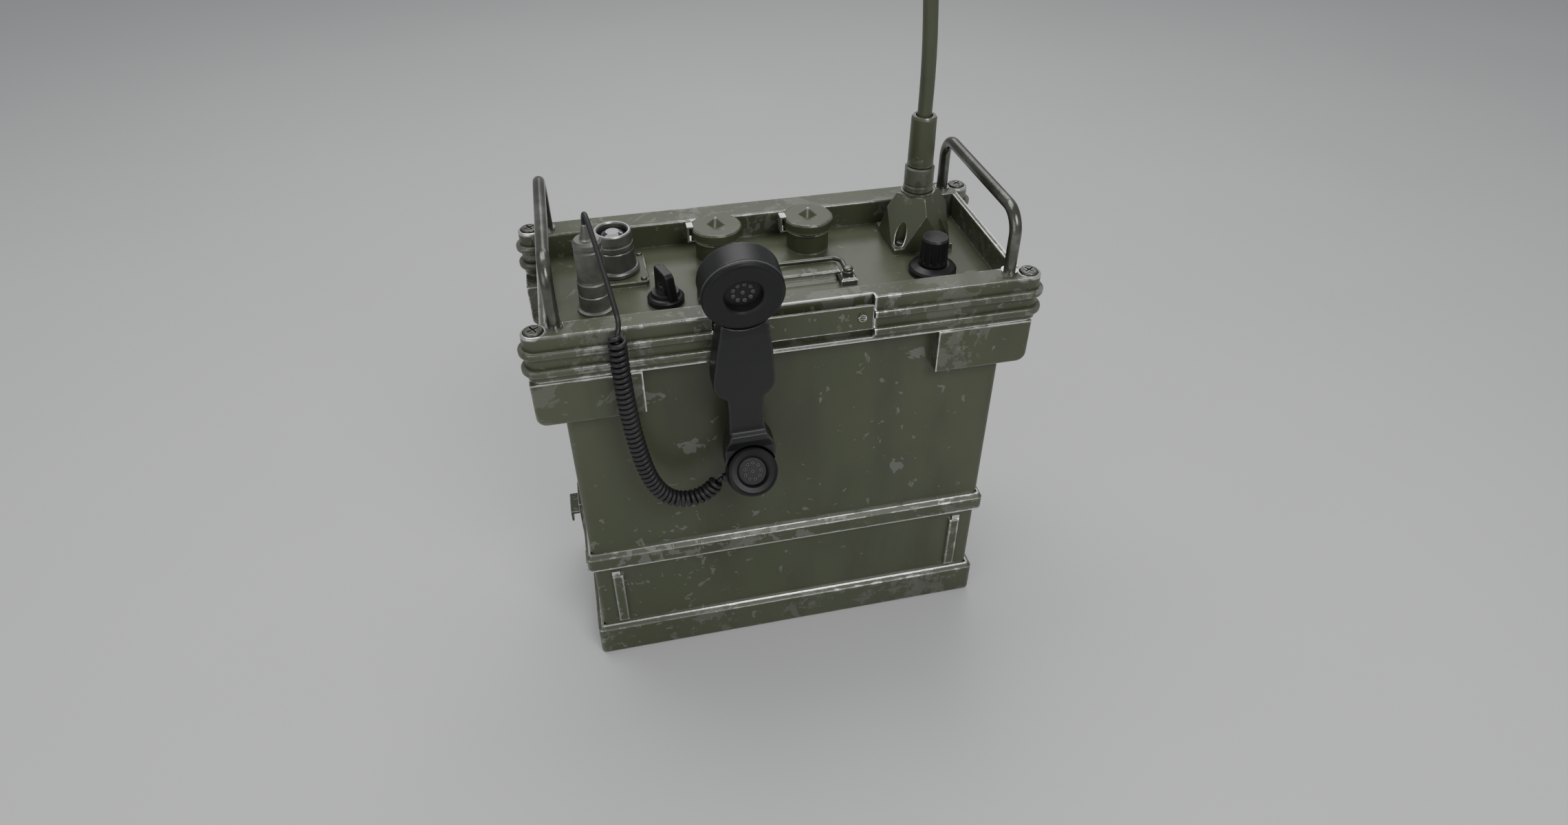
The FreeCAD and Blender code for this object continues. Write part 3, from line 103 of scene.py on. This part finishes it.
def add_floor(material):
    mesh = bpy.data.meshes.new("floor")
    corners = [(x * FLOOR_REACH, y * FLOOR_REACH, 0)
               for x, y in ((-1, -1), (1, -1), (1, 1), (-1, 1))]
    mesh.from_pydata(corners, [], [(0, 1, 2, 3)])
    floor = bpy.data.objects.new("floor", mesh)
    bpy.context.scene.collection.objects.link(floor)
    floor.data.materials.append(material)


def add_world():
    world = bpy.data.worlds.new("studio")
    world.use_nodes = True
    background = world.node_tree.nodes["Background"]
    background.inputs["Color"].default_value = WORLD_COLOUR
    background.inputs["Strength"].default_value = WORLD_STRENGTH
    bpy.context.scene.world = world


# ---------------------------------------------------------------- material helpers

# A Mix node's two inputs and its output, by its data type.
MIX_SOCKETS = {"RGBA": (6, 7, 2), "FLOAT": (2, 3, 0)}
AO_SAMPLES = 6


class Nodes:
    """A material's node tree, with short calls for the nodes that are used here."""

    def __init__(self, name):
        self.material = bpy.data.materials.new(name)
        self.material.use_nodes = True
        self.tree = self.material.node_tree
        self.shader = self.tree.nodes["Principled BSDF"]
        self.place = self.tree.nodes.new("ShaderNodeTexCoord").outputs["Object"]

    def new(self, kind, **fields):
        node = self.tree.nodes.new(kind)
        for field, value in fields.items():
            setattr(node, field, value)
        return node

    def link(self, source, target):
        if isinstance(source, bpy.types.NodeSocket):
            self.tree.links.new(source, target)
        else:
            target.default_value = source

    def math(self, operation, first, second):
        node = self.new("ShaderNodeMath", operation=operation)
        self.link(first, node.inputs[0])
        self.link(second, node.inputs[1])
        return node.outputs[0]

    def swing(self, value, middle, size):
        """How far the value is from its middle, times size."""
        return self.math("MULTIPLY", self.math("SUBTRACT", value, middle), size)

    def stretched(self, scale=(1.0, 1.0, 1.0), shift=(0.0, 0.0, 0.0)):
        """The object's own coordinates, scaled and shifted."""
        node = self.new("ShaderNodeMapping")
        self.link(self.place, node.inputs["Vector"])
        node.inputs["Scale"].default_value = scale
        node.inputs["Location"].default_value = shift
        return node.outputs[0]

    def noise(self, scale, detail, roughness=0.55, where=None, distortion=0.0):
        node = self.new("ShaderNodeTexNoise")
        self.link(where or self.place, node.inputs["Vector"])
        node.inputs["Scale"].default_value = scale
        node.inputs["Detail"].default_value = detail
        node.inputs["Roughness"].default_value = roughness
        node.inputs["Distortion"].default_value = distortion
        return node.outputs[0]

    def ramp(self, value, low, high):
        """0 at low and 1 at high, and smooth between them."""
        node = self.new("ShaderNodeMapRange", interpolation_type="SMOOTHSTEP")
        self.link(value, node.inputs["Value"])
        node.inputs["From Min"].default_value = low
        node.inputs["From Max"].default_value = high
        return node.outputs["Result"]

    def closed_in(self, reach, **fields):
        node = self.new("ShaderNodeAmbientOcclusion", samples=AO_SAMPLES, **fields)
        node.inputs["Distance"].default_value = reach
        return self.math("SUBTRACT", 1.0, node.outputs["AO"])

    def edges(self, reach):
        """Near 1 along outward edges, within that reach."""
        return self.closed_in(reach, inside=True, only_local=True)

    def crevices(self, reach):
        """Near 1 where surfaces close in on each other."""
        return self.closed_in(reach)

    def mixed(self, data_type, share, first, second):
        node = self.new("ShaderNodeMix", data_type=data_type)
        first_input, second_input, output = MIX_SOCKETS[data_type]
        self.link(share, node.inputs[0])
        self.link(first, node.inputs[first_input])
        self.link(second, node.inputs[second_input])
        return node.outputs[output]

    def mix(self, share, first, second):
        """A colour: first where the share is 0, and second where it is 1."""
        return self.mixed("RGBA", share, first, second)

    def blend(self, share, first, second):
        """A number: first where the share is 0, and second where it is 1."""
        return self.mixed("FLOAT", share, first, second)

    def bump(self, height, distance, strength):
        node = self.new("ShaderNodeBump")
        node.inputs["Strength"].default_value = strength
        node.inputs["Distance"].default_value = distance
        self.link(height, node.inputs["Height"])
        self.link(node.outputs[0], self.shader.inputs["Normal"])

    def finish(self, colour, roughness, metallic=0.0):
        self.link(colour, self.shader.inputs["Base Color"])
        self.link(roughness, self.shader.inputs["Roughness"])
        self.link(metallic, self.shader.inputs["Metallic"])
        return self.material


def grey(level):
    return (level, level, level, 1.0)


def scaled(colour, factor):
    """The colour with its brightness scaled, up to white."""
    return tuple(min(1.0, c * factor) for c in colour[:3]) + (1.0,)


# ---------------------------------------------------------------- materials

OLIVE = (0.058, 0.066, 0.036, 1.0)
OLIVE_LIGHT = (0.075, 0.084, 0.050, 1.0)
OLIVE_DARK = (0.038, 0.042, 0.026, 1.0)
UNDERCOAT = (0.145, 0.149, 0.124, 1.0)
BARE_METAL = (0.74, 0.74, 0.71, 1.0)
# Near-black mixed into hollows and gaps: partly grime, partly painted shade.
GRIME_AND_SHADE = (0.010, 0.010, 0.009, 1.0)

# Where rubbed paint starts to scuff and to shine as metal, and where each is full. A finish's
# rubbing is taken off all four.
SCUFFED = (0.15, 0.22)
BRIGHT = (0.29, 0.38)
PATCH_FADE = 0.03
CHIP_FADE = 0.012
SPLASH_LIFT = 0.22
NARROW_CREVICE = 0.004
WIDE_CREVICE = 0.006


def splash(n, places):
    """Raises the chance of a chip near the given places, each (x, y, z, reach) in metres."""
    lifted = 0.0
    for x, y, z, reach in places:
        node = n.new("ShaderNodeVectorMath", operation="DISTANCE")
        n.link(n.place, node.inputs[0])
        node.inputs[1].default_value = (x, y, z)
        near = n.math("MULTIPLY", n.ramp(node.outputs["Value"], reach, 0.0), SPLASH_LIFT)
        lifted = n.math("MAXIMUM", near, lifted)
    return lifted


def painted_metal(name, reach, rubbing, patches, chips, splashes=(), paint=OLIVE):
    """Olive paint: rubbed to metal along its edges, worn in patches and chipped on its faces, with
    painted shade and some grime in its hollows.
    """
    n = Nodes(name)
    broad = n.noise(6.0, 4.0)
    streaks = n.noise(30.0, 4.0, where=n.stretched(scale=(1.0, 1.0, 0.3)))
    colour = n.mix(n.ramp(broad, 0.32, 0.7), paint, OLIVE_LIGHT)
    colour = n.mix(n.math("MULTIPLY", n.ramp(streaks, 0.45, 0.72), 0.45), colour, OLIVE_DARK)

    blotches = n.noise(30.0, 7.0, roughness=0.64, distortion=0.6)
    patch = n.ramp(blotches, patches, patches + PATCH_FADE)

    flake_shape = n.noise(125.0, 4.0, roughness=0.58, distortion=0.5)
    flake_places = n.noise(11.0, 2.0, where=n.stretched(shift=(0.3, 0.1, 0.7)))
    flakes = n.math("ADD", flake_shape, n.math("MULTIPLY", flake_places, 0.30))
    flakes = n.math("ADD", flakes, splash(n, splashes))
    flakes = n.ramp(flakes, chips, chips + CHIP_FADE)

    edge = n.edges(reach)
    breakup = n.noise(150.0, 5.0, roughness=0.65)
    rubbed = n.math("ADD", edge, n.swing(breakup, 0.5, 0.55))
    handled = n.noise(16.0, 2.0)
    rubbed = n.math("ADD", rubbed, n.swing(handled, 0.55, 0.45))
    scuffed = n.ramp(rubbed, SCUFFED[0] - rubbing, SCUFFED[1] - rubbing)
    bright = n.ramp(rubbed, BRIGHT[0] - rubbing, BRIGHT[1] - rubbing)

    worn = n.math("MAXIMUM", flakes, n.math("MULTIPLY", patch, 0.62))
    worn = n.math("MAXIMUM", worn, n.math("MULTIPLY", scuffed, 0.8))
    colour = n.mix(worn, colour, UNDERCOAT)
    colour = n.mix(bright, colour, BARE_METAL)
    # Painted shade, partly grime: near-black mixed in where surfaces close in on each other, found
    # by ambient occlusion.
    grime_and_shade = n.math("MULTIPLY", n.ramp(n.crevices(WIDE_CREVICE), 0.55, 1.0), 0.6)
    colour = n.mix(grime_and_shade, colour, GRIME_AND_SHADE)

    fine = n.noise(900.0, 2.0)
    rough = n.blend(n.ramp(broad, 0.3, 0.7), 0.33, 0.43)
    rough = n.blend(worn, rough, 0.38)
    rough = n.blend(bright, rough, 0.20)
    height = n.math("SUBTRACT", n.math("MULTIPLY", fine, 0.25), n.math("MULTIPLY", flakes, 0.6))
    n.bump(height, distance=0.00022, strength=0.6)
    metallic = n.math("MAXIMUM", n.math("MULTIPLY", bright, 0.95),
                      n.math("MULTIPLY", worn, 0.25))
    return n.finish(colour, rough, metallic)


def worn_metal(name, colour, worn_colour, rough, reach):
    """Plated steel, with painted shade and some grime in its hollows, and bright where it is
    rubbed.
    """
    n = Nodes(name)
    mottle = n.noise(60.0, 5.0, roughness=0.6)
    fine = n.noise(700.0, 3.0)
    rubbed = n.math("ADD", n.edges(reach), n.swing(mottle, 0.5, 0.8))
    bright = n.ramp(rubbed, 0.16, 0.40)
    tint = n.mix(n.ramp(mottle, 0.35, 0.7), scaled(colour, 0.6), colour)
    tint = n.mix(bright, tint, worn_colour)
    # Painted shade, partly grime: near-black mixed into the hollows, found by ambient occlusion.
    grime_and_shade = n.math("MULTIPLY", n.ramp(n.crevices(NARROW_CREVICE), 0.4, 0.95), 0.8)
    tint = n.mix(grime_and_shade, tint, GRIME_AND_SHADE)
    n.bump(fine, distance=0.0001, strength=0.5)
    return n.finish(tint, n.blend(bright, rough + 0.15, rough), n.blend(bright, 0.75, 1.0))


def moulded(name, colour, rough, grain_scale, grain_depth, rub, reach=0.0012, shine=0.5):
    """Plastic or rubber with a fine grain, greyed along its edges by handling, with painted shade
    and some grime in its hollows.
    """
    n = Nodes(name)
    n.shader.inputs["Specular IOR Level"].default_value = shine
    broad = n.noise(18.0, 4.0)
    grain = n.noise(grain_scale, 3.0)
    rubbed = n.math("ADD", n.edges(reach), n.swing(broad, 0.5, 0.4))
    rubbed = n.math("MULTIPLY", n.ramp(rubbed, 0.14, 0.40), rub)
    tint = n.mix(n.ramp(broad, 0.35, 0.75), colour, scaled(colour, 1.5))
    tint = n.mix(rubbed, tint, grey(0.16))
    # Painted shade, partly grime: near-black mixed in where surfaces close in on each other, found
    # by ambient occlusion.
    grime_and_shade = n.math("MULTIPLY", n.ramp(n.crevices(WIDE_CREVICE), 0.4, 1.0), 0.6)
    tint = n.mix(grime_and_shade, tint, grey(0.004))
    n.bump(grain, distance=grain_depth, strength=0.7)
    return n.finish(tint, n.blend(n.ramp(broad, 0.3, 0.7), rough, rough + 0.12))


def glass(name, colour, rough):
    """Dark coated glass with faint smears."""
    n = Nodes(name)
    smears = n.noise(90.0, 4.0)
    n.shader.inputs["Coat Weight"].default_value = 1.0
    n.shader.inputs["Coat Roughness"].default_value = 0.04
    tint = n.mix(n.ramp(smears, 0.3, 0.8), colour, scaled(colour, 1.8))
    return n.finish(tint, n.blend(n.ramp(smears, 0.4, 0.8), rough, rough + 0.1))


def floor_finish():
    n = Nodes("floor")
    soft = n.noise(3.0, 3.0)
    return n.finish(n.mix(soft, grey(0.60), grey(0.66)), roughness=0.85)


# Where the case's front is chipped more than elsewhere: x, y, z and reach in metres.
CASE_SPLASHES = ((-0.0740, -0.0543, 0.2080, 0.013), (-0.0620, -0.0543, 0.1685, 0.012),
                 (0.0700, -0.0543, 0.1300, 0.012), (0.0726, -0.0543, 0.2149, 0.010))

PAINTS = {
    "olive_paint": dict(reach=0.0013, rubbing=0.03, patches=0.655, chips=0.815),
    "olive_panel": dict(reach=0.0013, rubbing=0.03, patches=0.655, chips=0.815, paint=OLIVE_LIGHT),
    "olive_case": dict(reach=0.0014, rubbing=0.03, patches=0.69, chips=0.824,
                       splashes=CASE_SPLASHES),
    "olive_worn": dict(reach=0.0017, rubbing=0.12, patches=0.545, chips=0.77),
    "olive_bracket": dict(reach=0.0013, rubbing=0.075, patches=0.50, chips=0.77),
    "olive_sheet": dict(reach=0.0008, rubbing=0.03, patches=0.62, chips=0.79),
    "olive_cap": dict(reach=0.0019, rubbing=0.08, patches=0.60, chips=0.79),
}

METALS = {
    "fine_metal": dict(colour=(0.15, 0.152, 0.132, 1.0), worn_colour=(0.62, 0.62, 0.59, 1.0),
                       rough=0.17, reach=0.0006),
    "handle_metal": dict(colour=(0.14, 0.142, 0.122, 1.0), worn_colour=(0.66, 0.66, 0.63, 1.0),
                         rough=0.09, reach=0.0018),
    "worn_steel": dict(colour=(0.175, 0.175, 0.162, 1.0), worn_colour=(0.66, 0.66, 0.63, 1.0),
                       rough=0.15, reach=0.0022),
    "plug_metal": dict(colour=(0.31, 0.312, 0.28, 1.0), worn_colour=(0.52, 0.52, 0.49, 1.0),
                       rough=0.36, reach=0.0016),
    "dark_metal": dict(colour=(0.25, 0.25, 0.235, 1.0), worn_colour=(0.58, 0.58, 0.56, 1.0),
                       rough=0.28, reach=0.0016),
    "inner_metal": dict(colour=(0.42, 0.42, 0.40, 1.0), worn_colour=(0.6, 0.6, 0.58, 1.0),
                        rough=0.35, reach=0.001),
}

MOULDINGS = {
    "black_plastic": dict(colour=(0.0102, 0.0102, 0.0105, 1.0), rough=0.34, grain_scale=1400.0,
                          grain_depth=0.00005, rub=0.3, reach=0.0020, shine=0.42),
    "black_cap": dict(colour=(0.0125, 0.0125, 0.0128, 1.0), rough=0.36, grain_scale=1400.0,
                      grain_depth=0.00005, rub=0.7, reach=0.0013, shine=0.25),
    "black_rubber": dict(colour=(0.0135, 0.0135, 0.0138, 1.0), rough=0.42, grain_scale=900.0,
                         grain_depth=0.00008, rub=0.12),
    "board": dict(colour=(0.020, 0.075, 0.040, 1.0), rough=0.45, grain_scale=500.0,
                  grain_depth=0.0001, rub=0.1),
    "battery_case": dict(colour=(0.055, 0.058, 0.045, 1.0), rough=0.6, grain_scale=600.0,
                         grain_depth=0.0001, rub=0.1),
}

MATERIALS = {"lens_glass": glass("lens_glass", colour=(0.010, 0.010, 0.011, 1.0), rough=0.06)}
for maker, finishes in ((painted_metal, PAINTS), (worn_metal, METALS), (moulded, MOULDINGS)):
    for finish_name, values in finishes.items():
        MATERIALS[finish_name] = maker(finish_name, **values)

SLOTS = {entry["node"]: entry["material_slot"] for entry in frame["record"]["subparts"]}

# The nodes whose finish isn't simply the one of their slot.
FINISHES = {
    "olive_panel": ("top_panel", "lamp_plate"),
    "olive_case": ("main_case", "battery_box"),
    "olive_bracket": ("corner_brackets",),
    "olive_worn": ("latch_bases", "top_flange", "base_pan", "middle_rim", "retaining_bars",
                   "display_housing"),
    "olive_sheet": ("hanger_plate", "hanger_screws", "latch_left", "latch_right", "antenna_base",
                    "antenna_coupling"),
    "olive_cap": ("dust_cap_left", "dust_cap_right", "cap_straps"),
    "handle_metal": ("handle_left", "handle_right"),
    "fine_metal": ("corner_screws", "panel_screws", "wire_guard", "guard_posts"),
    "black_cap": ("earpiece_cap", "mouthpiece_cap"),
    "plug_metal": ("audio_plug", "audio_socket", "plug_relief"),
}


def paint_nodes():
    chosen = {name: finish for finish, names in FINISHES.items() for name in names}
    for name, node in frame["nodes"].items():
        material = MATERIALS[chosen.get(name, SLOTS[name])]
        if not node.material_slots:
            node.data.materials.append(material)
        for entry in node.material_slots:
            entry.material = material


# ---------------------------------------------------------------- handset

HANDSET_VOXEL = 0.55 * MM
SOFTEN_FACTOR = 0.5
SOFTEN_STEPS = 9


def settled(piece):
    """Applies the piece's modifiers to its mesh."""
    ready = piece.evaluated_get(bpy.context.evaluated_depsgraph_get())
    mesh = bpy.data.meshes.new_from_object(ready)
    piece.modifiers.clear()
    old = piece.data
    piece.data = mesh
    bpy.data.meshes.remove(old)


def add_handset():
    """The handset's moulding with soft edges, in place of its CAD solid."""
    node = frame["nodes"]["handset_body"]
    piece = bpy.data.objects.new("handset_moulding", node.data.copy())
    bpy.context.scene.collection.objects.link(piece)
    remesh = piece.modifiers.new("remesh", "REMESH")
    remesh.mode = "VOXEL"
    remesh.voxel_size = HANDSET_VOXEL
    soften = piece.modifiers.new("soften", "SMOOTH")
    soften.factor = SOFTEN_FACTOR
    soften.iterations = SOFTEN_STEPS
    settled(piece)
    piece.data.polygons.foreach_set("use_smooth", [True] * len(piece.data.polygons))
    piece.data.materials.clear()
    piece.data.materials.append(MATERIALS["black_plastic"])
    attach(piece, "handset")
    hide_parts("handset_body")


# ---------------------------------------------------------------- cord

WIRE = 2.7 * MM
COIL = 10.0 * MM
PITCH = 3.35 * MM

# The turns start where the route is past COIL_FRONT and below COIL_TOP, reach their full radius
# in RAMP_POINTS, and end a TAIL before the route does.
COIL_FRONT = -71.5 * MM
COIL_TOP = 263.5 * MM
TAIL = 3.2 * MM
TURN_POINTS = 16
STEP = PITCH / TURN_POINTS
RAMP_POINTS = TURN_POINTS * 0.6

# Up to LEAD_END points before the first turn, the wire keeps one point in LEAD_POINTS.
LEAD_POINTS = 4
LEAD_END = 8
ROUTE_RESOLUTION = 40
TUBE_SIDES = 12

# The route's control points in mm. They are the CAD's, without the one where its two solids
# meet, and with one more inside the handset's lower end.
LEAD_ROUTE = [(-101.6, -17.0, 296.5), (-101.6, -17.0, 302.1), (-100.0, -23.9, 305.3),
              (-92.0, -60.0, 268.5), (-91.4, -68.6, 265.2), (-93.8, -72.8, 260.4)]
COIL_ROUTE = [(-93.5, -72.8, 229.0), (-91.3, -72.8, 196.5), (-86.4, -72.4, 165.8),
              (-79.3, -72.0, 150.5), (-70.5, -72.0, 144.1), (-60.0, -72.0, 144.0),
              (-52.6, -72.0, 147.8), (-48.9, -72.0, 152.2), (-44.6, -72.0, 156.0)]


def route_line(points):
    """The smooth line of a NURBS spline, with the route's points as its control points."""
    curve = bpy.data.curves.new("route", "CURVE")
    curve.dimensions = "3D"
    curve.resolution_u = ROUTE_RESOLUTION
    spline = curve.splines.new("NURBS")
    spline.points.add(len(points) - 1)
    for point, place in zip(spline.points, points):
        point.co = (*(c * MM for c in place), 1.0)
    spline.order_u = 3
    spline.use_endpoint_u = True
    holder = bpy.data.objects.new("route", curve)
    mesh = bpy.data.meshes.new_from_object(holder)
    line = [vert.co.copy() for vert in mesh.vertices]
    bpy.data.meshes.remove(mesh)
    bpy.data.objects.remove(holder)
    bpy.data.curves.remove(curve)
    return line


def even(line, step):
    """The line again, with points that are a step apart."""
    made = [line[0].copy()]
    left = step
    for first, second in zip(line, line[1:]):
        long = (second - first).length
        while long >= left:
            first = first.lerp(second, left / long)
            made.append(first.copy())
            long = (second - first).length
            left = step
        left -= long
    return made


def directions(line):
    """A direction and two steady crossways directions at each point."""
    ways = []
    side = Vector((1, 0, 0))
    for number in range(len(line)):
        ahead = (line[min(number + 1, len(line) - 1)] - line[max(number - 1, 0)]).normalized()
        side = (side - ahead * side.dot(ahead)).normalized()
        ways.append((ahead, side, ahead.cross(side)))
    return ways


def smooth(share):
    share = min(1.0, max(0.0, share))
    return share * share * (3 - 2 * share)


def wire_points():
    """The wire: straight to the coil's top, round and round, and straight into the handset."""
    line = even(route_line(LEAD_ROUTE + COIL_ROUTE), STEP)
    top = next(number for number, point in enumerate(line)
               if point.y < COIL_FRONT and point.z < COIL_TOP)
    bottom = len(line) - int(TAIL / STEP)
    radius = (COIL - WIRE) / 2
    made = []
    for number, (point, (_, side, other)) in enumerate(zip(line, directions(line))):
        grow = smooth((number - top) / RAMP_POINTS) * smooth((bottom - number) / RAMP_POINTS)
        angle = 2 * math.pi * (number - top) / TURN_POINTS
        made.append(point + (side * math.cos(angle) + other * math.sin(angle)) * radius * grow)
    return [point for number, point in enumerate(made)
            if number % LEAD_POINTS == 0 or number > top - LEAD_END]


def tube(name, path, radius):
    """A round tube mesh whose ring centres are the path's points."""
    verts, faces = [], []
    for point, (_, side, other) in zip(path, directions(path)):
        for number in range(TUBE_SIDES):
            angle = 2 * math.pi * number / TUBE_SIDES
            verts.append(point + (side * math.cos(angle) + other * math.sin(angle)) * radius)
    for ring in range(len(path) - 1):
        for number in range(TUBE_SIDES):
            a = ring * TUBE_SIDES + number
            b = ring * TUBE_SIDES + (number + 1) % TUBE_SIDES
            faces.append((a, b, b + TUBE_SIDES, a + TUBE_SIDES))
    faces.append(tuple(reversed(range(TUBE_SIDES))))
    faces.append(tuple(range(len(verts) - TUBE_SIDES, len(verts))))
    mesh = bpy.data.meshes.new(name)
    mesh.from_pydata([tuple(vert) for vert in verts], [], faces)
    mesh.polygons.foreach_set("use_smooth", [True] * len(faces))
    mesh.update()
    piece = bpy.data.objects.new(name, mesh)
    bpy.context.scene.collection.objects.link(piece)
    return piece


def add_cord():
    """The curly cord: one wire that is straight at first and then wound, all of it one mesh."""
    path = wire_points()
    cord = tube("cord", path, WIRE / 2)
    cord.data.materials.append(MATERIALS["black_rubber"])
    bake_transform(cord)
    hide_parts("cord_lead", "cord_coil")


# ---------------------------------------------------------------- the scene

add_camera()
add_world()
add_floor(floor_finish())
for light_name, light in LIGHTS.items():
    add_area(light_name, *light)
paint_nodes()
add_handset()
add_cord()
